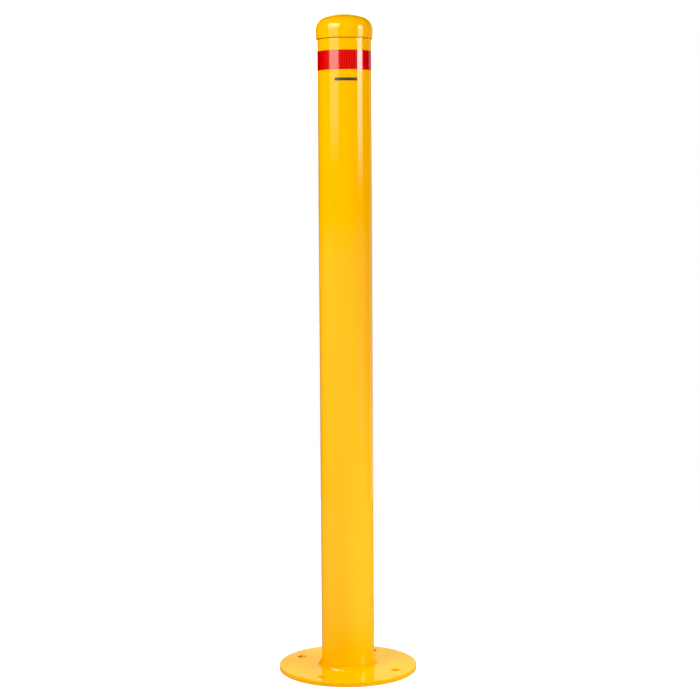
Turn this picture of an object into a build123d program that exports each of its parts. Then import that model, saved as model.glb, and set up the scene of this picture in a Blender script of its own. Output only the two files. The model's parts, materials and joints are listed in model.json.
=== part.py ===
from build123d import *
from math import asin, cos, degrees, radians, sin, sqrt, tan
import os

# Bolt-down safety bollard: a capped steel post welded to a round base plate.
# Millimetres. The origin is the centre of the plate's underside, +Z runs up the post,
# and -Y is the front, the side that carries the label.

# Overall
overall_height = 1100.0

# Base plate: a flame-cut disc with four anchor holes and a drain hole under the post
plate_diameter = 233.0
plate_thickness = 8.0
plate_edge_radius = 1.0
bolt_circle_diameter = 180.0
bolt_hole_diameter = 14.0
bolt_hole_count = 4
bolt_hole_start_angle = -28.4
drain_hole_diameter = 20.0

# Post: standard 88.9 mm welded round tube, with the raised seam left inside its bore
tube_diameter = 88.9
tube_wall = 3.2
tube_end_chamfer = 0.6
seam_bead_radius = 1.8
seam_bead_height = 0.8

# Weld: a slightly convex fillet all round the foot of the post
weld_leg = 6.0
weld_crown = 0.5

# Cap: a moulded dome that slips over the tube and stops against its end
cap_diameter = 94.6
cap_crown_radius = 98.0
cap_corner_radius = 22.0
cap_skirt_draft = 2.2
cap_overlap = 14.6
cap_slip_gap = 0.45
cap_rim_radius = 0.6
grip_rib_count = 12
grip_rib_width = 2.0
grip_rib_gap = 0.1
grip_rib_lead_in = 3.0
stop_web_count = 6
stop_web_thickness = 2.0
stop_web_length = 14.0

# Reflective band: one strip of sheeting, its end lapped over its start at the back
band_bottom = 1007.3
band_height = 31.5
band_thickness = 0.4
band_lap_length = 12.0

# Label: a thin blank strip on the front, just below the band
label_width = 37.0
label_height = 5.0
label_thickness = 0.15
label_corner_radius = 1.0
label_centre_x = 2.8
label_centre_z = 991.5

# Places that follow from the sizes above
tube_radius = tube_diameter / 2
bore_radius = tube_radius - tube_wall
cap_bore_radius = tube_radius + cap_slip_gap
cap_wall = cap_diameter / 2 - cap_bore_radius

# The dome is a corner arc that runs tangentially into a flatter crown arc.
corner_centre_x = cap_diameter / 2 - cap_corner_radius
crown_centre_z = overall_height - cap_crown_radius
centre_distance = cap_crown_radius - cap_corner_radius
corner_centre_z = crown_centre_z + sqrt(centre_distance**2 - corner_centre_x**2)
shoulder_angle = 90 - degrees(asin(corner_centre_x / centre_distance))

# The tube ends level with the start of the corner arc, so the skirt below it is straight inside.
tube_top = corner_centre_z
cap_rim = tube_top - cap_overlap


def dome_outline(inset, draft):
    """Half outline of the cap's dome, moved in from its outside, closed along the axis."""
    corner = cap_corner_radius - inset
    skirt_top_x = corner_centre_x + corner * cos(radians(draft))
    skirt_top_z = corner_centre_z - corner * sin(radians(draft))
    rim_x = skirt_top_x - (skirt_top_z - cap_rim) * tan(radians(draft))
    mouth = Line((0, cap_rim), (rim_x, cap_rim))
    Line(mouth @ 1, (skirt_top_x, skirt_top_z))
    CenterArc((corner_centre_x, corner_centre_z), corner, -draft, draft + shoulder_angle)
    crown = CenterArc((0, crown_centre_z), cap_crown_radius - inset, shoulder_angle, 90 - shoulder_angle)
    Line(crown @ 1, mouth @ 0)


os.makedirs("parts", exist_ok=True)

# Base plate
with BuildPart() as base_plate:
    with BuildSketch():
        Circle(plate_diameter / 2)
        Circle(drain_hole_diameter / 2, mode=Mode.SUBTRACT)
        with PolarLocations(bolt_circle_diameter / 2, bolt_hole_count, bolt_hole_start_angle):
            Circle(bolt_hole_diameter / 2, mode=Mode.SUBTRACT)
    extrude(amount=plate_thickness)
    outer_edges = base_plate.edges().filter_by(GeomType.CIRCLE).sort_by(SortBy.RADIUS)[-2:]
    fillet(outer_edges, radius=plate_edge_radius)
base_plate.part.label = "base_plate"
export_step(base_plate.part, "parts/base_plate.step")

# Post tube, with its inner weld seam at the back
with BuildPart() as post_tube:
    with BuildSketch(Plane.XY.offset(plate_thickness)):
        Circle(tube_radius)
        Circle(bore_radius, mode=Mode.SUBTRACT)
        with Locations((0, bore_radius + seam_bead_radius - seam_bead_height)):
            Circle(seam_bead_radius)
    extrude(amount=tube_top - plate_thickness)
    outer_top_edge = post_tube.edges().group_by(Axis.Z)[-1].sort_by(SortBy.RADIUS)[-1]
    chamfer(outer_top_edge, length=tube_end_chamfer)
post_tube.part.label = "post_tube"
export_step(post_tube.part, "parts/post_tube.step")

# Fillet weld between the tube and the plate
with BuildPart() as base_weld:
    with BuildSketch(Plane.XZ):
        with BuildLine():
            plate_leg = Line((tube_radius, plate_thickness), (tube_radius + weld_leg, plate_thickness))
            tube_leg = Line((tube_radius, plate_thickness), (tube_radius, plate_thickness + weld_leg))
            SagittaArc(plate_leg @ 1, tube_leg @ 1, -weld_crown)
        make_face()
    revolve(axis=Axis.Z)
base_weld.part.label = "base_weld"
export_step(base_weld.part, "parts/base_weld.step")

# Webs under the dome that rest on the end of the tube, made here to join the cap below
with BuildPart(mode=Mode.PRIVATE) as stop_webs:
    with BuildSketch(Plane.XY.offset(tube_top)):
        with PolarLocations(cap_diameter / 2 - stop_web_length / 2, stop_web_count):
            Rectangle(stop_web_length, stop_web_thickness)
    extrude(amount=overall_height - tube_top)
    with BuildSketch(Plane.XZ):
        with BuildLine():
            dome_outline(cap_wall / 2, 0)
        make_face()
    revolve(axis=Axis.Z, mode=Mode.INTERSECT)

# Cap: domed shell, grip ribs on the inside of its skirt, and the stop webs
with BuildPart() as post_cap:
    with BuildSketch(Plane.XZ) as shell:
        with BuildLine():
            dome_outline(0, cap_skirt_draft)
        make_face()
        with BuildLine():
            dome_outline(cap_wall, 0)
        make_face(mode=Mode.SUBTRACT)
        fillet(shell.vertices().group_by(Axis.Y)[0], radius=cap_rim_radius)
    revolve(axis=Axis.Z)
    rib_depth = cap_slip_gap - grip_rib_gap + cap_wall / 2
    with BuildSketch(Plane.XY.offset(cap_rim + grip_rib_lead_in)):
        with PolarLocations(tube_radius + grip_rib_gap + rib_depth / 2, grip_rib_count):
            Rectangle(rib_depth, grip_rib_width)
    extrude(amount=cap_overlap - grip_rib_lead_in)
    add(stop_webs.part)
post_cap.part.label = "post_cap"
export_step(post_cap.part, "parts/post_cap.step")

# Reflective band
with BuildPart() as reflective_band:
    with BuildSketch(Plane.XY.offset(band_bottom)):
        Circle(tube_radius + band_thickness)
        with BuildLine():
            lap_radius = tube_radius + 2 * band_thickness
            lap_angle = degrees(band_lap_length / lap_radius)
            lap = CenterArc((0, 0), lap_radius, 90 - lap_angle / 2, lap_angle)
            Line(lap @ 1, (0, 0))
            Line((0, 0), lap @ 0)
        make_face()
        Circle(tube_radius, mode=Mode.SUBTRACT)
    extrude(amount=band_height)
reflective_band.part.label = "reflective_band"
export_step(reflective_band.part, "parts/reflective_band.step")

# Label: a rounded strip bent round the front of the tube
with BuildPart() as blank_label:
    with BuildSketch(Plane.XY.offset(label_centre_z - label_height / 2)):
        Circle(tube_radius + label_thickness)
        Circle(tube_radius, mode=Mode.SUBTRACT)
    extrude(amount=label_height)
    with BuildSketch(Plane.XZ):
        with Locations((label_centre_x, label_centre_z)):
            RectangleRounded(label_width, label_height, label_corner_radius)
    extrude(amount=tube_diameter, mode=Mode.INTERSECT)
blank_label.part.label = "blank_label"
export_step(blank_label.part, "parts/blank_label.step")
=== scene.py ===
import json
from math import atan2, cos, pi, radians, sin, sqrt, tau

import bmesh
import bpy
from mathutils import Matrix, Vector


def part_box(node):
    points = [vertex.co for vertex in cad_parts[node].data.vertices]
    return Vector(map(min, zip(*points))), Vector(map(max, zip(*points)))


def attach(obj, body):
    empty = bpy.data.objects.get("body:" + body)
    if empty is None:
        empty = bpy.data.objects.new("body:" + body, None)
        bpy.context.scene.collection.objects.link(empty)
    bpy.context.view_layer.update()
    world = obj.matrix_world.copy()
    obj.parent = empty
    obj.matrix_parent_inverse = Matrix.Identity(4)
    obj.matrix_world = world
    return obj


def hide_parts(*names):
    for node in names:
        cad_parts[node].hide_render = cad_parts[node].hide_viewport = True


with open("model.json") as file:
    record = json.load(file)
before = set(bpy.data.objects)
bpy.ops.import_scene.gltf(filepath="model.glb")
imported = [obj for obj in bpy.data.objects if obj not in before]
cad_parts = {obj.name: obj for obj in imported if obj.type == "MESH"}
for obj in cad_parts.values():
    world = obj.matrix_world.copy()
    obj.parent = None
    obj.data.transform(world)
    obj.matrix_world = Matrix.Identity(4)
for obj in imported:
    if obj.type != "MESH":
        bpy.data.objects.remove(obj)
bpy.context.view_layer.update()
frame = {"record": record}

MM = 0.001

# ---------------------------------------------------------------------------
# Sizes, in metres, read from the frame where it holds them
# ---------------------------------------------------------------------------
plate_low, plate_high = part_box("base_plate")
tube_low, tube_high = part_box("post_tube")
weld_low, weld_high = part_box("base_weld")
cap_low, cap_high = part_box("post_cap")
band_low, band_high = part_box("reflective_band")
label_low, label_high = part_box("blank_label")
bolts = next(m for m in frame["record"]["mounts"] if m["name"] == "base_bolts")["dims"]

PLATE_RADIUS = plate_high.x
PLATE_TOP = plate_high.z
PLATE_EDGE = 1.0 * MM
HOLE_RADIUS = bolts["hole_r_mm"] * MM
BOLT_CIRCLE_RADIUS = bolts["pcd_mm"] * MM / 2
BOLT_START_ANGLE = radians(-28.4)
DRAIN_RADIUS = 10.0 * MM

TUBE_RADIUS = 44.45 * MM
TUBE_WALL = 3.2 * MM
TUBE_TOP = tube_high.z
TUBE_END_ROUND = 0.5 * MM
SEAM_HEIGHT = 0.8 * MM
SEAM_WIDTH = 3.4 * MM

WELD_LEG = weld_high.z - weld_low.z
WELD_CROWN = 0.5 * MM
RIPPLE_PITCH = 3.2 * MM
RIPPLE_HEIGHT = 0.14 * MM

CAP_RADIUS = 47.3 * MM
CAP_TOP = cap_high.z
CAP_RIM = cap_low.z
CAP_CROWN = 98.0 * MM
CAP_CORNER = 22.0 * MM
CAP_BORE = TUBE_RADIUS + 0.45 * MM
CAP_DRAFT = radians(2.2)
CAP_RIM_ROUND = 0.6 * MM
RIB_COUNT = 12
RIB_WIDTH = 2.0 * MM
RIB_GAP = 0.1 * MM
RIB_LEAD_IN = 3.0 * MM
RIB_OVERRUN = 0.3 * MM
WEB_COUNT = 6
WEB_THICKNESS = 2.0 * MM
WEB_LENGTH = 14.0 * MM

BAND_THICKNESS = 0.4 * MM
BAND_LAP = 12.0 * MM
BAND_RAMP = 2.5 * MM

LABEL_THICKNESS = 0.15 * MM
LABEL_CORNER = 1.0 * MM

STEPS = 288


# ---------------------------------------------------------------------------
# Mesh building
# ---------------------------------------------------------------------------
def arc(centre_r, centre_z, radius, start, end, count):
    """Points (r, z) along an arc in the half plane of a ring's section."""
    angles = [start + (end - start) * i / count for i in range(count + 1)]
    return [(centre_r + radius * cos(a), centre_z + radius * sin(a)) for a in angles]


def new_object(name, mesh, sharp_angle=35):
    """Links a mesh as an object, smooth except where it turns by more than sharp_angle."""
    mesh.shade_smooth()
    mesh.set_sharp_from_angle(angle=radians(sharp_angle))
    piece = bpy.data.objects.new(name, mesh)
    bpy.context.scene.collection.objects.link(piece)
    return piece


def ring(name, section, steps=STEPS, sharp_angle=35):
    """Sweeps section(angle), a closed list of (r, z) points, once round +Z, from the back."""
    verts = []
    for i in range(steps):
        angle = tau * i / steps
        for r, z in section(angle):
            verts.append((-r * sin(angle), r * cos(angle), z))
    count = len(verts) // steps
    faces = []
    for i in range(steps):
        here, there = i * count, (i + 1) % steps * count
        for j in range(count):
            k = (j + 1) % count
            faces.append((here + j, there + j, there + k, here + k))
    mesh = bpy.data.meshes.new(name)
    mesh.from_pydata(verts, [], faces)
    clean(mesh)
    return new_object(name, mesh, sharp_angle)


def clean(mesh):
    """Joins points that coincide, such as those on the axis, and turns every face outwards."""
    work = bmesh.new()
    work.from_mesh(mesh)
    bmesh.ops.remove_doubles(work, verts=work.verts, dist=1e-7)
    bmesh.ops.recalc_face_normals(work, faces=work.faces)
    work.to_mesh(mesh)
    work.free()


def evaluated_copy(source, name):
    """Mesh of an object with its modifiers or curve settings applied. The object is deleted."""
    graph = bpy.context.evaluated_depsgraph_get()
    mesh = bpy.data.meshes.new_from_object(source.evaluated_get(graph), depsgraph=graph)
    mesh.name = name
    bpy.data.objects.remove(source)
    return mesh


# ---------------------------------------------------------------------------
# Pieces
# ---------------------------------------------------------------------------
def make_tube():
    """Post tube with rounded ends, and the weld seam that runs down its bore at the back."""
    rows = 48
    low, high = tube_low.z, TUBE_TOP
    edge = TUBE_END_ROUND
    outer = TUBE_RADIUS

    def section(angle):
        across = min(angle, tau - angle) * outer
        seam = SEAM_HEIGHT * max(0.0, cos(pi * min(1.0, across / SEAM_WIDTH) / 2)) ** 2
        inner = outer - TUBE_WALL - seam
        outside = [(outer, low + (high - edge - low) * i / rows) for i in range(rows)]
        top_out = arc(outer - edge, high - edge, edge, 0, pi / 2, 4)
        top_in = arc(inner + edge, high - edge, edge, pi / 2, pi, 4)
        inside = [(inner, high - edge + (low - high + edge) * i / rows) for i in range(1, rows + 1)]
        return outside + top_out + top_in + inside

    return ring("post_tube_coated", section)


def flat_ring_curve(curve, x, y, radius, points):
    """Adds one closed circle to a 2D curve."""
    spline = curve.splines.new("POLY")
    spline.points.add(points - 1)
    for i, point in enumerate(spline.points):
        a = tau * i / points
        point.co = (x + radius * cos(a), y + radius * sin(a), 0, 1)
    spline.use_cyclic_u = True


def make_plate():
    """Round plate with rounded edges, four anchor holes and the drain hole."""
    thickness = PLATE_TOP - plate_low.z
    curve = bpy.data.curves.new("plate_outline", "CURVE")
    curve.dimensions = "2D"
    curve.fill_mode = "BOTH"
    curve.bevel_depth = PLATE_EDGE
    curve.bevel_resolution = 3
    curve.extrude = thickness / 2 - PLATE_EDGE
    flat_ring_curve(curve, 0, 0, PLATE_RADIUS - PLATE_EDGE, STEPS)
    flat_ring_curve(curve, 0, 0, DRAIN_RADIUS + PLATE_EDGE, 96)
    for i in range(bolts["count"]):
        a = BOLT_START_ANGLE + tau * i / bolts["count"]
        x, y = BOLT_CIRCLE_RADIUS * cos(a), BOLT_CIRCLE_RADIUS * sin(a)
        flat_ring_curve(curve, x, y, HOLE_RADIUS + PLATE_EDGE, 96)
    outline = bpy.data.objects.new("plate_outline", curve)
    bpy.context.scene.collection.objects.link(outline)
    mesh = evaluated_copy(outline, "base_plate_coated")
    mesh.transform(Matrix.Translation((0, 0, plate_low.z + thickness / 2)))
    clean(mesh)
    piece = new_object("base_plate_coated", mesh)
    weigh = piece.modifiers.new("flat faces shade flat", "WEIGHTED_NORMAL")
    weigh.keep_sharp = True
    return piece


def make_weld():
    """Fillet weld round the foot of the post: fine crescent ripples under the paint."""
    toe_r, toe_z = TUBE_RADIUS, PLATE_TOP
    face_points = 14

    def section(angle):
        along = angle * (toe_r + WELD_LEG / 2)
        wander = 0.25 * MM * sin(5 * angle + 1.0) + 0.15 * MM * sin(13 * angle)
        lap = 0.5 * MM * max(0.0, cos(pi * min(1.0, abs(angle - 0.6) / 0.09) / 2)) ** 2
        points = []
        for i in range(face_points + 1):
            u = i / face_points
            swell = sin(pi * u)
            crescent = cos(tau * (along - 1.6 * MM * swell) / RIPPLE_PITCH)
            proud = WELD_CROWN * swell + (RIPPLE_HEIGHT * crescent + wander + lap) * swell
            r = toe_r + WELD_LEG * (1 - u) + proud / sqrt(2)
            z = toe_z + WELD_LEG * u + proud / sqrt(2)
            points.append((r, z))
        return points + [(toe_r, toe_z)]

    return ring("base_weld_bead", section, steps=960, sharp_angle=60)


def dome(inset, draft, mouth_round):
    """Half outline of the cap's dome, from the mouth up to the axis, moved in by inset."""
    corner_r = CAP_RADIUS - CAP_CORNER
    crown_z = CAP_TOP - CAP_CROWN
    centre_gap = CAP_CROWN - CAP_CORNER
    corner_z = crown_z + sqrt(centre_gap**2 - corner_r**2)
    turn = atan2(corner_z - crown_z, corner_r)
    shoulder = arc(corner_r, corner_z, CAP_CORNER - inset, -draft, turn, 28)
    crown = arc(0, crown_z, CAP_CROWN - inset, turn, pi / 2, 24)
    skirt_r, skirt_z = shoulder[0]
    drop = skirt_z - CAP_RIM - mouth_round
    foot = (skirt_r - drop * sin(draft) / cos(draft), CAP_RIM + mouth_round)
    skirt = [
        (foot[0] + (skirt_r - foot[0]) * i / 6, foot[1] + (skirt_z - foot[1]) * i / 6)
        for i in range(6)
    ]
    return skirt + shoulder + crown[1:-1] + [(0.0, CAP_TOP - inset)]


def box_between(verts, faces, direction, width, low, high, inner, outer):
    """Adds a flat radial rib whose bottom is at low and whose top at each radius is high(r)."""
    rows = 12
    base = len(verts)
    across = Vector((-direction.y, direction.x, 0)) * width / 2
    for i in range(rows + 1):
        r = inner + (outer - inner) * i / rows
        for side in (-1, 1):
            for z in (low, high(r)):
                verts.append(direction * r + across * side + Vector((0, 0, z)))
    for i in range(rows):
        a, b = base + 4 * i, base + 4 * i + 4
        for j, k in ((0, 1), (1, 3), (3, 2), (2, 0)):
            faces.append((a + j, a + k, b + k, b + j))
    end = base + 4 * rows
    faces.append((base, base + 2, base + 3, base + 1))
    faces.append((end, end + 1, end + 3, end + 2))


def make_cap():
    """Domed cap: a moulded shell with grip ribs in its skirt and stop webs under its dome."""
    wall = CAP_RADIUS - CAP_BORE
    outside = dome(0, CAP_DRAFT, CAP_RIM_ROUND)
    inside = dome(wall, 0, CAP_RIM_ROUND)
    rim_out = arc(outside[0][0] - CAP_RIM_ROUND, outside[0][1], CAP_RIM_ROUND, -pi / 2, 0, 4)[:-1]
    rim_in = arc(inside[0][0] + CAP_RIM_ROUND, inside[0][1], CAP_RIM_ROUND, pi, 3 * pi / 2, 4)[1:]
    shell = ring("post_cap_shell", lambda angle: rim_out + outside + inside[::-1] + rim_in)

    verts, faces = [], []
    middle = [(r, z) for r, z in dome(wall / 2, 0, 0)]

    def under_dome(r):
        """Height half way through the dome's wall at this radius."""
        above = [p for p in middle if p[1] > TUBE_TOP + 0.01 * MM]
        for (r0, z0), (r1, z1) in zip(above, above[1:]):
            if r1 <= r <= r0:
                return z0 + (z1 - z0) * (r0 - r) / (r0 - r1)
        return TUBE_TOP + 0.1 * MM

    reach = CAP_BORE + wall / 2 - 0.05 * MM
    for i in range(WEB_COUNT):
        a = tau * i / WEB_COUNT
        out = Vector((cos(a), sin(a), 0))
        box_between(
            verts, faces, out, WEB_THICKNESS, TUBE_TOP, under_dome, CAP_RADIUS - WEB_LENGTH, reach
        )
    for i in range(RIB_COUNT):
        a = tau * i / RIB_COUNT
        out = Vector((cos(a), sin(a), 0))
        foot = CAP_RIM + RIB_LEAD_IN
        crest = TUBE_RADIUS + RIB_GAP
        box_between(
            verts, faces, out, RIB_WIDTH, foot, lambda r: TUBE_TOP + RIB_OVERRUN, crest, reach - RIB_OVERRUN
        )
    mesh = bpy.data.meshes.new("cap_ribs")
    mesh.from_pydata(verts, [], faces)
    clean(mesh)
    ribs = bpy.data.objects.new("cap_ribs", mesh)
    bpy.context.scene.collection.objects.link(ribs)
    union = shell.modifiers.new("ribs", "BOOLEAN")
    union.operation = "UNION"
    union.solver = "EXACT"
    union.use_self = True
    union.object = ribs
    mesh = evaluated_copy(shell, "post_cap_moulded")
    bpy.data.objects.remove(ribs)
    return new_object("post_cap_moulded", mesh, 30)


def make_band():
    """Reflective strip wrapped round the post, its end lapped over its start at the back."""
    cut = 0.08 * MM
    low, high = band_low.z, band_high.z

    def section(angle):
        along = (angle if angle < pi else angle - tau) * TUBE_RADIUS
        half = BAND_LAP / 2
        if -half <= along <= half - BAND_RAMP:
            lift = 1.0
        elif half - BAND_RAMP < along <= half + BAND_RAMP:
            lift = 0.5 + 0.5 * cos(pi * (along - half + BAND_RAMP) / (2 * BAND_RAMP))
        else:
            lift = 0.0
        outer = TUBE_RADIUS + BAND_THICKNESS * (1 + lift)
        face = [(outer, low + cut + (high - low - 2 * cut) * i / 8) for i in range(9)]
        top = [(outer - cut, high), (TUBE_RADIUS, high)]
        return [(TUBE_RADIUS, low), (outer - cut, low)] + face + top

    return ring("reflective_band_sheeting", section, steps=720)


def make_label():
    """Thin blank strip with round corners, bent round the front of the post."""
    centre_s = TUBE_RADIUS * atan2((label_low.x + label_high.x) / 2, TUBE_RADIUS)
    half_w = (label_high.x - label_low.x) / 2 * 1.03
    half_h = (label_high.z - label_low.z) / 2
    centre_z = (label_low.z + label_high.z) / 2
    columns, rows = 72, 8
    layers = ((TUBE_RADIUS, 0.0), (TUBE_RADIUS + LABEL_THICKNESS, 0.02 * MM))
    verts, faces = [], []
    for radius, inset in layers:
        for i in range(columns + 1):
            s = (2 * i / columns - 1) * (half_w - inset)
            past = max(0.0, abs(s) - (half_w - inset - LABEL_CORNER))
            reach = half_h - inset - LABEL_CORNER + sqrt(max(0.0, LABEL_CORNER**2 - past**2))
            a = (centre_s + s) / TUBE_RADIUS
            for j in range(rows + 1):
                z = centre_z + (2 * j / rows - 1) * reach
                verts.append((radius * sin(a), -radius * cos(a), z))
    layer = (columns + 1) * (rows + 1)

    def at(level, i, j):
        return level * layer + i * (rows + 1) + j

    for i in range(columns):
        for j in range(rows):
            for level in (0, 1):
                corners = [
                    at(level, i, j), at(level, i + 1, j), at(level, i + 1, j + 1), at(level, i, j + 1),
                ]
                faces.append(corners if level else corners[::-1])
        for j in (0, rows):
            faces.append([at(0, i, j), at(0, i + 1, j), at(1, i + 1, j), at(1, i, j)])
    for j in range(rows):
        for i in (0, columns):
            faces.append([at(0, i, j), at(0, i, j + 1), at(1, i, j + 1), at(1, i, j)])
    mesh = bpy.data.meshes.new("blank_label_film")
    mesh.from_pydata(verts, [], faces)
    clean(mesh)
    return new_object("blank_label_film", mesh)


# ---------------------------------------------------------------------------
# Materials
# ---------------------------------------------------------------------------
def add_node(tree, kind, settings=None, **sockets):
    """Adds a node. A socket's name has _ for a space, and its value is a number or a link."""
    node = tree.nodes.new(kind)
    for name, value in (settings or {}).items():
        setattr(node, name, value)
    for name, value in sockets.items():
        socket = node.inputs[name.replace("_", " ")]
        if isinstance(value, bpy.types.NodeSocket):
            tree.links.new(value, socket)
        else:
            socket.default_value = value
    return node


def maths(tree, operation, *values, clamp=False):
    """One Math node over numbers or links."""
    node = tree.nodes.new("ShaderNodeMath")
    node.operation = operation
    node.use_clamp = clamp
    for socket, value in zip(node.inputs, values):
        if isinstance(value, bpy.types.NodeSocket):
            tree.links.new(value, socket)
        else:
            socket.default_value = value
    return node.outputs[0]


def between(tree, value, start, end, low=0.0, high=1.0):
    """Smoothly maps value from start..end to low..high."""
    node = add_node(
        tree, "ShaderNodeMapRange", {"interpolation_type": "SMOOTHSTEP"},
        Value=value, From_Min=start, From_Max=end, To_Min=low, To_Max=high,
    )
    return node.outputs["Result"]


def blend_colour(tree, factor, first, second):
    """Colour from first at 0 to second at 1."""
    node = tree.nodes.new("ShaderNodeMix")
    node.data_type = "RGBA"
    for index, value in ((0, factor), (6, first), (7, second)):
        if isinstance(value, bpy.types.NodeSocket):
            tree.links.new(value, node.inputs[index])
        else:
            node.inputs[index].default_value = value
    return node.outputs[2]


def noise(tree, place, scale, detail=2.0, roughness=0.5):
    """Noise from 0 to 1 over object coordinates in metres."""
    node = add_node(
        tree, "ShaderNodeTexNoise", Vector=place, Scale=scale, Detail=detail, Roughness=roughness
    )
    return node.outputs["Fac"]


def new_material(name):
    """An empty Principled material: its tree, its shader and its object coordinates."""
    material = bpy.data.materials.new(name)
    material.use_nodes = True
    tree = material.node_tree
    tree.nodes.clear()
    shader = tree.nodes.new("ShaderNodeBsdfPrincipled")
    output = tree.nodes.new("ShaderNodeOutputMaterial")
    tree.links.new(shader.outputs[0], output.inputs["Surface"])
    place = tree.nodes.new("ShaderNodeTexCoord").outputs["Object"]
    return material, tree, shader, place


def bump(tree, shader, *heights):
    """Chains one Bump node for each (height, distance in metres) into the shader's normal."""
    normal = None
    for height, distance in heights:
        node = add_node(tree, "ShaderNodeBump", Strength=1.0, Distance=distance, Height=height)
        if normal is not None:
            tree.links.new(normal, node.inputs["Normal"])
        normal = node.outputs["Normal"]
    tree.links.new(normal, shader.inputs["Normal"])


# The yellow paint: its usual colour, its thicker patches, a painted shade round the weld, a painted lighter
# tone below the plate's top, and a painted shadow line under the cap's rim
YELLOW = (0.68, 0.318, 0.0005, 1)
YELLOW_DEEP = (0.66, 0.303, 0.0003, 1)
YELLOW_WELD_SHADE = (0.62, 0.25, 0.0003, 1)
YELLOW_PAINTED_LIGHT = (0.80, 0.32, 0.001, 1)
RIM_SHADOW_COLOUR = (0.26, 0.09, 0.002, 1)
RIM_SHADOW_DROP = 0.5 * MM
COAT_IOR = 1.456
COAT_ROUGHNESS = (0.08, 0.12)


def powder_coat():
    """Glossy powder coat: orange peel and a slow drift of colour.

    It has a painted shade round the weld, is painted lighter below the plate's top face, which takes in the
    walls of the holes and the underside, and has a patchy painted shadow line just under the cap's rim.
    """
    material, tree, shader, place = new_material("yellow_powder_coat")
    drift = between(tree, noise(tree, place, 7.0, 3.0), 0.35, 0.65)
    mottle = between(tree, noise(tree, place, 260.0, 2.0), 0.3, 0.7)
    tone = maths(tree, "ADD", maths(tree, "MULTIPLY", drift, 0.3), maths(tree, "MULTIPLY", mottle, 0.12))
    colour = blend_colour(tree, tone, YELLOW, YELLOW_DEEP)
    height = add_node(tree, "ShaderNodeSeparateXYZ", Vector=place).outputs["Z"]
    level = add_node(tree, "ShaderNodeVectorMath", {"operation": "MULTIPLY"}, Vector=place)
    level.inputs[1].default_value = (1, 1, 0)
    flat = add_node(tree, "ShaderNodeVectorMath", {"operation": "LENGTH"}, Vector=level.outputs["Vector"])
    reach = flat.outputs["Value"]
    # Painted shade: the weld and the foot of the tube just above it are painted darker.
    at_weld = between(tree, reach, weld_high.x - 1.5 * MM, weld_high.x + 0.5 * MM, 1.0, 0.0)
    low_down = between(tree, height, weld_high.z - 1.0 * MM, weld_high.z + 4.0 * MM, 0.8, 0.0)
    painted_weld_shade = maths(tree, "MULTIPLY", at_weld, low_down)
    colour = blend_colour(tree, painted_weld_shade, colour, YELLOW_WELD_SHADE)
    # Painted light: the walls of the holes and the plate's underside are painted lighter than the rest.
    inside_rim = between(tree, reach, PLATE_RADIUS - 10.0 * MM, PLATE_RADIUS - 8.0 * MM, 1.0, 0.0)
    below_top = between(tree, height, PLATE_TOP - 1.2 * MM, PLATE_TOP - 0.6 * MM, 1.0, 0.0)
    painted_light_below = maths(tree, "MULTIPLY", inside_rim, below_top)
    colour = blend_colour(tree, painted_light_below, colour, YELLOW_PAINTED_LIGHT)
    # Painted shadow: a patchy dark line on the tube just under the cap's rim.
    from_rim = maths(tree, "ABSOLUTE", maths(tree, "SUBTRACT", height, CAP_RIM - RIM_SHADOW_DROP))
    rim_shadow = between(tree, from_rim, 0.4 * MM, 1.0 * MM, 1.0, 0.0)
    patchy = between(tree, noise(tree, place, 50.0, 2.0), 0.35, 0.6, 0.45, 0.9)
    colour = blend_colour(tree, maths(tree, "MULTIPLY", rim_shadow, patchy), colour, RIM_SHADOW_COLOUR)
    tree.links.new(colour, shader.inputs["Base Color"])
    gloss = between(tree, noise(tree, place, 30.0, 4.0), 0.3, 0.7, *COAT_ROUGHNESS)
    tree.links.new(gloss, shader.inputs["Roughness"])
    shader.inputs["IOR"].default_value = COAT_IOR
    peel = noise(tree, place, 380.0, 2.0)
    flow = noise(tree, place, 40.0, 1.0)
    bump(tree, shader, (peel, 0.02 * MM), (flow, 0.06 * MM))
    return material


def cap_plastic():
    """Moulded cap: the post's yellow, with a finer grain and faint flow marks."""
    material, tree, shader, place = new_material("yellow_cap_plastic")
    flow = noise(tree, place, 55.0, 2.0)
    colour = blend_colour(tree, between(tree, flow, 0.3, 0.7, 0.0, 0.35), YELLOW, YELLOW_DEEP)
    tree.links.new(colour, shader.inputs["Base Color"])
    gloss = between(tree, noise(tree, place, 90.0, 3.0), 0.3, 0.7, *COAT_ROUGHNESS)
    tree.links.new(gloss, shader.inputs["Roughness"])
    shader.inputs["IOR"].default_value = COAT_IOR
    grain = noise(tree, place, 700.0, 2.0)
    bump(tree, shader, (grain, 0.008 * MM), (flow, 0.04 * MM))
    return material


# The sheeting: its lattice of cells, the film over it, and the reds of a cell, its middle and the net
CELL_WIDTH = 8.1 * MM
CELL_HEIGHT = 4.5 * MM
QUILT_RADIUS = 2.3 * MM
FILM_IOR = 1.85
FILM_ROUGHNESS = 0.1
SHEET_RED = (0.49, 0.003, 0.0015, 1)
SHEET_DARK = (0.29, 0.0015, 0.001, 1)
SHEET_NET = (0.49, 0.006, 0.003, 1)


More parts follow.
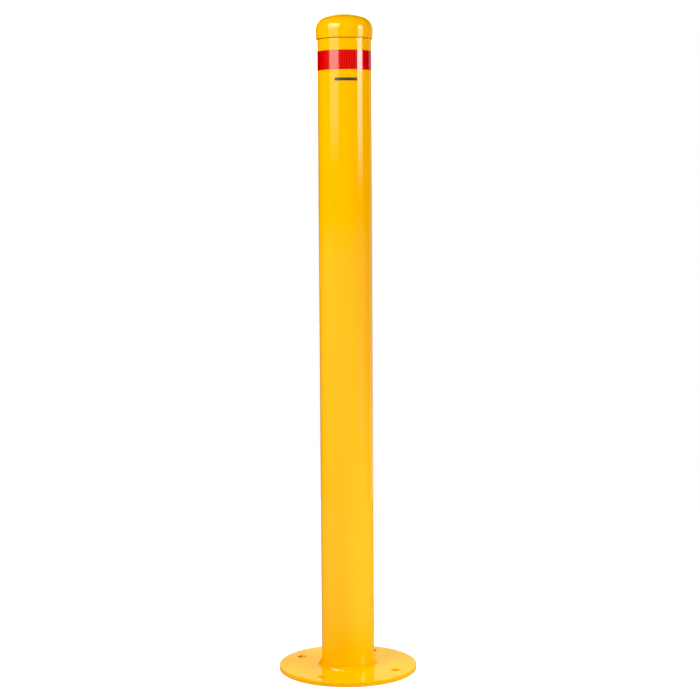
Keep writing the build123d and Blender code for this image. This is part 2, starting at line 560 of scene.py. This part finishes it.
def cell_distances(tree, place):
    """Distances to the two nearest cell centres of a staggered lattice wrapped round the post."""
    parts = add_node(tree, "ShaderNodeSeparateXYZ", Vector=place)
    front = maths(tree, "MULTIPLY", parts.outputs["Y"], -1.0)
    angle = maths(tree, "ARCTAN2", parts.outputs["X"], front)
    across = maths(tree, "DIVIDE", maths(tree, "MULTIPLY", angle, TUBE_RADIUS), CELL_WIDTH)
    height = maths(tree, "DIVIDE", maths(tree, "SUBTRACT", parts.outputs["Z"], band_low.z), CELL_HEIGHT)
    lengths = []
    for shift in (0.0, 0.5):
        sides = []
        for value, size in ((across, CELL_WIDTH), (height, CELL_HEIGHT)):
            turned = maths(tree, "FRACT", maths(tree, "ADD", value, shift))
            sides.append(maths(tree, "MULTIPLY", maths(tree, "SUBTRACT", turned, 0.5), size))
        squares = [maths(tree, "MULTIPLY", side, side) for side in sides]
        lengths.append(maths(tree, "SQRT", maths(tree, "ADD", *squares)))
    return lengths


def reflective_sheeting():
    """Red prismatic sheeting: staggered cells with darker middles, under a clear glossy film."""
    material, tree, shader, place = new_material("red_prismatic_sheeting")
    first, second = cell_distances(tree, place)
    nearest = maths(tree, "MINIMUM", first, second)
    gap = maths(tree, "ABSOLUTE", maths(tree, "SUBTRACT", first, second))
    net = between(tree, gap, 0.2 * MM, 0.9 * MM, 1.0, 0.0)
    spot = between(tree, nearest, 0.7 * MM, 1.6 * MM, 1.0, 0.0)
    body = blend_colour(tree, spot, SHEET_RED, SHEET_DARK)
    colour = blend_colour(tree, net, body, SHEET_NET)
    tree.links.new(colour, shader.inputs["Base Color"])
    gloss = between(tree, net, 0.0, 1.0, 0.16, 0.3)
    tree.links.new(gloss, shader.inputs["Roughness"])
    shader.inputs["IOR"].default_value = 1.5
    shader.inputs["Specular IOR Level"].default_value = 0.1
    tree.links.new(between(tree, spot, 0.0, 1.0, 1.0, 0.6), shader.inputs["Coat Weight"])
    shader.inputs["Coat IOR"].default_value = FILM_IOR
    shader.inputs["Coat Roughness"].default_value = FILM_ROUGHNESS
    quilt = between(tree, nearest, 0.0, QUILT_RADIUS, 1.0, 0.0)
    bump(tree, shader, (quilt, 0.05 * MM), (noise(tree, place, 60.0, 1.0), 0.05 * MM))
    return material


LABEL_DARK = (0.030, 0.026, 0.016, 1)
LABEL_PALE = (0.042, 0.036, 0.022, 1)


def label_film():
    """Dark satin film, with a faint fibre in it."""
    material, tree, shader, place = new_material("dark_label_film")
    grain = between(tree, noise(tree, place, 900.0, 3.0), 0.3, 0.7)
    colour = blend_colour(tree, grain, LABEL_DARK, LABEL_PALE)
    tree.links.new(colour, shader.inputs["Base Color"])
    gloss = between(tree, grain, 0.0, 1.0, 0.28, 0.38)
    tree.links.new(gloss, shader.inputs["Roughness"])
    bump(tree, shader, (grain, 0.01 * MM))
    return material


# ---------------------------------------------------------------------------
# The bollard
# ---------------------------------------------------------------------------
def place_piece(piece, material, body, node):
    """Finishes a piece: material, body, material slot, and the CAD node that it stands for."""
    piece.data.materials.clear()
    piece.data.materials.append(material)
    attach(piece, body)
    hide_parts(node)


coat = powder_coat()
place_piece(make_tube(), coat, "post", "post_tube")
place_piece(make_plate(), coat, "post", "base_plate")
place_piece(make_weld(), coat, "post", "base_weld")
place_piece(make_cap(), cap_plastic(), "cap", "post_cap")
place_piece(make_band(), reflective_sheeting(), "post", "reflective_band")
place_piece(make_label(), label_film(), "post", "blank_label")


# ---------------------------------------------------------------------------
# Stage, lights and camera
# ---------------------------------------------------------------------------
FLOOR_RADIUS = 1.6
# The level that the camera sees the studio at, and the camera's black level
WHITE = 1.0
BLACK = 0.02
# The ground's glow falls off between these values of a direction's Y: -1 is front, 1 is back
FRONT_TO_BACK = (-0.6, 1.05)
FLOOR_GLOW = 0.9
GROUND_GLOW = 1.05
GROUND_GLOW_BACK = 0.08
# The backdrop behind the post and the board behind it to the right: direction, glow, colour
BACKDROP_WAY = (0, 0.968, 0.25)
BACKDROP_GLOW = 0.95
BACKDROP_COLOUR = (1, 1, 0.5, 1)
BOARD_WAY = (0.5, 0.86, -0.1)
BOARD_GLOW = 0.45

# The camera: place in metres, angles in degrees, lens in millimetres
CAMERA_PLACE = (0.0025, -2.7906, 0.8022)
CAMERA_PAN = -0.08
CAMERA_DOWN = 5.278
CAMERA_ROLL = -0.34
CAMERA_LENS = 85.9


def make_floor():
    """White floor with a painted glow that dims towards the back and round the post, a painted shadow
    there. The camera sees it plain white.
    """
    steps = 96
    angles = [tau * i / steps for i in range(steps)]
    verts = [(0, 0, 0)] + [(FLOOR_RADIUS * cos(a), FLOOR_RADIUS * sin(a), 0) for a in angles]
    faces = [(0, 1 + i, 1 + (i + 1) % steps) for i in range(steps)]
    mesh = bpy.data.meshes.new("studio_floor")
    mesh.from_pydata(verts, [], faces)
    floor = bpy.data.objects.new("studio_floor", mesh)
    bpy.context.scene.collection.objects.link(floor)
    floor.location.z = plate_low.z - 0.05 * MM
    material, tree, shader, place = new_material("studio_floor_white")
    grain = between(tree, noise(tree, place, 300.0, 2.0), 0.3, 0.7)
    colour = blend_colour(tree, grain, (0.19, 0.19, 0.19, 1), (0.21, 0.21, 0.21, 1))
    tree.links.new(colour, shader.inputs["Base Color"])
    shader.inputs["Roughness"].default_value = 0.9
    shader.inputs["Specular IOR Level"].default_value = 0.0
    shader.inputs["Emission Color"].default_value = (1, 1, 1, 1)
    reach = add_node(tree, "ShaderNodeVectorMath", {"operation": "LENGTH"}, Vector=place).outputs["Value"]
    back = add_node(tree, "ShaderNodeSeparateXYZ", Vector=place).outputs["Y"]
    heading = maths(tree, "DIVIDE", back, maths(tree, "MAXIMUM", reach, 0.01))
    ground = between(tree, heading, *FRONT_TO_BACK, FLOOR_GLOW, 0.0)
    # Painted shadow: the floor's glow is dimmed round the post.
    glow = maths(tree, "MULTIPLY", ground, between(tree, reach, 0.1, 0.5, 0.2, 1.0))
    seen = tree.nodes.new("ShaderNodeLightPath").outputs["Is Camera Ray"]
    strength = maths(tree, "MAXIMUM", glow, maths(tree, "MULTIPLY", seen, WHITE))
    tree.links.new(strength, shader.inputs["Emission Strength"])
    mesh.materials.append(material)


def facing(tree, direction, way):
    """How nearly a direction points this way, as a dot product."""
    node = add_node(tree, "ShaderNodeVectorMath", {"operation": "DOT_PRODUCT"}, Vector=direction)
    node.inputs[1].default_value = way
    return node.outputs["Value"]


def make_world():
    """White ground that dims towards the back, a dim room, a warm backdrop and a board behind right.

    The camera itself sees plain white all round.
    """
    world = bpy.data.worlds.new("studio")
    bpy.context.scene.world = world
    world.use_nodes = True
    tree = world.node_tree
    tree.nodes.clear()
    direction = tree.nodes.new("ShaderNodeTexCoord").outputs["Generated"]
    parts = add_node(tree, "ShaderNodeSeparateXYZ", Vector=direction)
    ground = between(tree, parts.outputs["Y"], *FRONT_TO_BACK, GROUND_GLOW, GROUND_GLOW_BACK)
    share = between(tree, parts.outputs["Z"], -0.035, 0.0, 1.0, 0.2)
    share = maths(tree, "ADD", share, between(tree, parts.outputs["Z"], 0.1, 0.35, 0.0, 0.3))
    glow = between(tree, facing(tree, direction, BACKDROP_WAY), 0.965, 0.99, 0.0, BACKDROP_GLOW)
    warm = add_node(tree, "ShaderNodeBackground", Color=BACKDROP_COLOUR, Strength=glow)
    side = between(tree, facing(tree, direction, BOARD_WAY), 0.87, 0.95, 0.0, BOARD_GLOW)
    studio = maths(tree, "ADD", maths(tree, "MULTIPLY", ground, share), side)
    seen = tree.nodes.new("ShaderNodeLightPath").outputs["Is Camera Ray"]
    strength = maths(tree, "MAXIMUM", studio, maths(tree, "MULTIPLY", seen, WHITE))
    plain = add_node(tree, "ShaderNodeBackground", Color=(1, 1, 1, 1), Strength=strength)
    both = tree.nodes.new("ShaderNodeAddShader")
    tree.links.new(plain.outputs[0], both.inputs[0])
    tree.links.new(warm.outputs[0], both.inputs[1])
    output = tree.nodes.new("ShaderNodeOutputWorld")
    tree.links.new(both.outputs[0], output.inputs["Surface"])


def area_light(name, width, length):
    """Rectangular area light, not yet placed."""
    light = bpy.data.lights.new(name, "AREA")
    light.shape = "RECTANGLE"
    light.size, light.size_y = width, length
    return light


def hang(light, azimuth, distance, height, aim):
    """Places a light at this height and horizontal distance, facing the height aim on the post.

    Azimuth 0 is straight in front of the post, positive to the right.
    """
    lamp = bpy.data.objects.new(light.name, light)
    bpy.context.scene.collection.objects.link(lamp)
    lamp.location = (distance * sin(azimuth), -distance * cos(azimuth), height)
    away = lamp.location - Vector((0, 0, aim))
    lamp.rotation_euler = away.to_track_quat("Z", "Y").to_euler()
    return lamp


def softbox(name, azimuth, distance, height, aim, size, radiance, glow_up, colour):
    """Upright softbox that fades out at its sides.

    Each step of glow_up is a change of its glow up its length: from and to, as shares of the
    length, then the glow's factor before and after.
    """
    width, length = size
    light = area_light(name, width, length)
    light.energy = radiance * pi * width * length
    light.color = colour
    light.use_nodes = True
    tree = light.node_tree
    panel = add_node(tree, "ShaderNodeNewGeometry").outputs["Parametric"]
    parts = add_node(tree, "ShaderNodeSeparateXYZ", Vector=panel)
    aside = maths(tree, "ABSOLUTE", maths(tree, "SUBTRACT", parts.outputs["X"], 0.5))
    glow = between(tree, aside, 0.32, 0.48, 1.0, 0.0)
    for values in glow_up:
        glow = maths(tree, "MULTIPLY", glow, between(tree, parts.outputs["Y"], *values))
    tree.links.new(glow, tree.nodes["Emission"].inputs["Strength"])
    hang(light, azimuth, distance, height, aim)


def fill(name, azimuth, distance, height, aim, size, power, spread=180):
    """Fill light that lifts the paint's own colour and is never mirrored in it."""
    light = area_light(name, *size)
    light.energy = power
    light.spread = radians(spread)
    lamp = hang(light, azimuth, distance, height, aim)
    lamp.visible_camera = False
    lamp.visible_glossy = False


def make_camera():
    """Camera at eye level with the upper post, looking slightly down at it."""
    data = bpy.data.cameras.new("camera")
    data.lens = CAMERA_LENS
    data.sensor_width = 36.0
    data.clip_start, data.clip_end = 0.05, 50.0
    camera = bpy.data.objects.new("camera", data)
    bpy.context.scene.collection.objects.link(camera)
    stand = Matrix.Translation(CAMERA_PLACE)
    pan = Matrix.Rotation(radians(CAMERA_PAN), 4, "Z")
    tilt = Matrix.Rotation(radians(90 - CAMERA_DOWN), 4, "X")
    roll = Matrix.Rotation(radians(CAMERA_ROLL), 4, "Z")
    camera.matrix_world = stand @ pan @ tilt @ roll
    bpy.context.scene.camera = camera


make_floor()
make_world()
softbox(
    "softbox_left", radians(-46), 4.0, 3.0, 1.05, (4.4, 4.9), 8.3,
    ((0.02, 0.09, 0, 1), (0.09, 0.43, 0.3, 1), (0.46, 0.6, 1, 1.6), (0.66, 0.8, 1, 0)), (1, 1, 0.85),
)
softbox(
    "softbox_right", radians(68.5), 4.0, 1.95, 1.95, (2.1, 2.3), 10.5,
    ((0.0, 0.15, 0, 1), (0.15, 0.35, 0.6, 1), (0.7, 0.95, 1, 0)), (1, 1, 1),
)
# Base fills, from above: azimuth in degrees, distance, height, power
for turn, distance, height, power in (
    (-150, 0.4, 1.4, 0.045), (-90, 0.4, 1.4, 0.025), (-30, 0.4, 1.4, 0.015),
    (30, 0.4, 1.4, 0.015), (90, 0.6, 1.1, 0.1), (150, 0.6, 1.1, 0.11),
):
    fill(f"base_fill_{turn}", radians(turn), distance, height, 0.0, (0.2, 0.2), power, 24)
fill("side_fill_left", radians(-85), 3.0, 1.0, 1.0, (0.8, 2.0), 12.5)
fill("side_fill_right", radians(70), 3.0, 0.8, 0.8, (0.8, 2.0), 24.0)
fill("foot_fill_right", radians(70), 1.2, 0.3, 0.1, (0.3, 0.3), 0.62, 50)
make_camera()
view = bpy.context.scene.view_settings
view.view_transform = "Standard"
view.use_curve_mapping = True
view.curve_mapping.black_level = (BLACK, BLACK, BLACK)
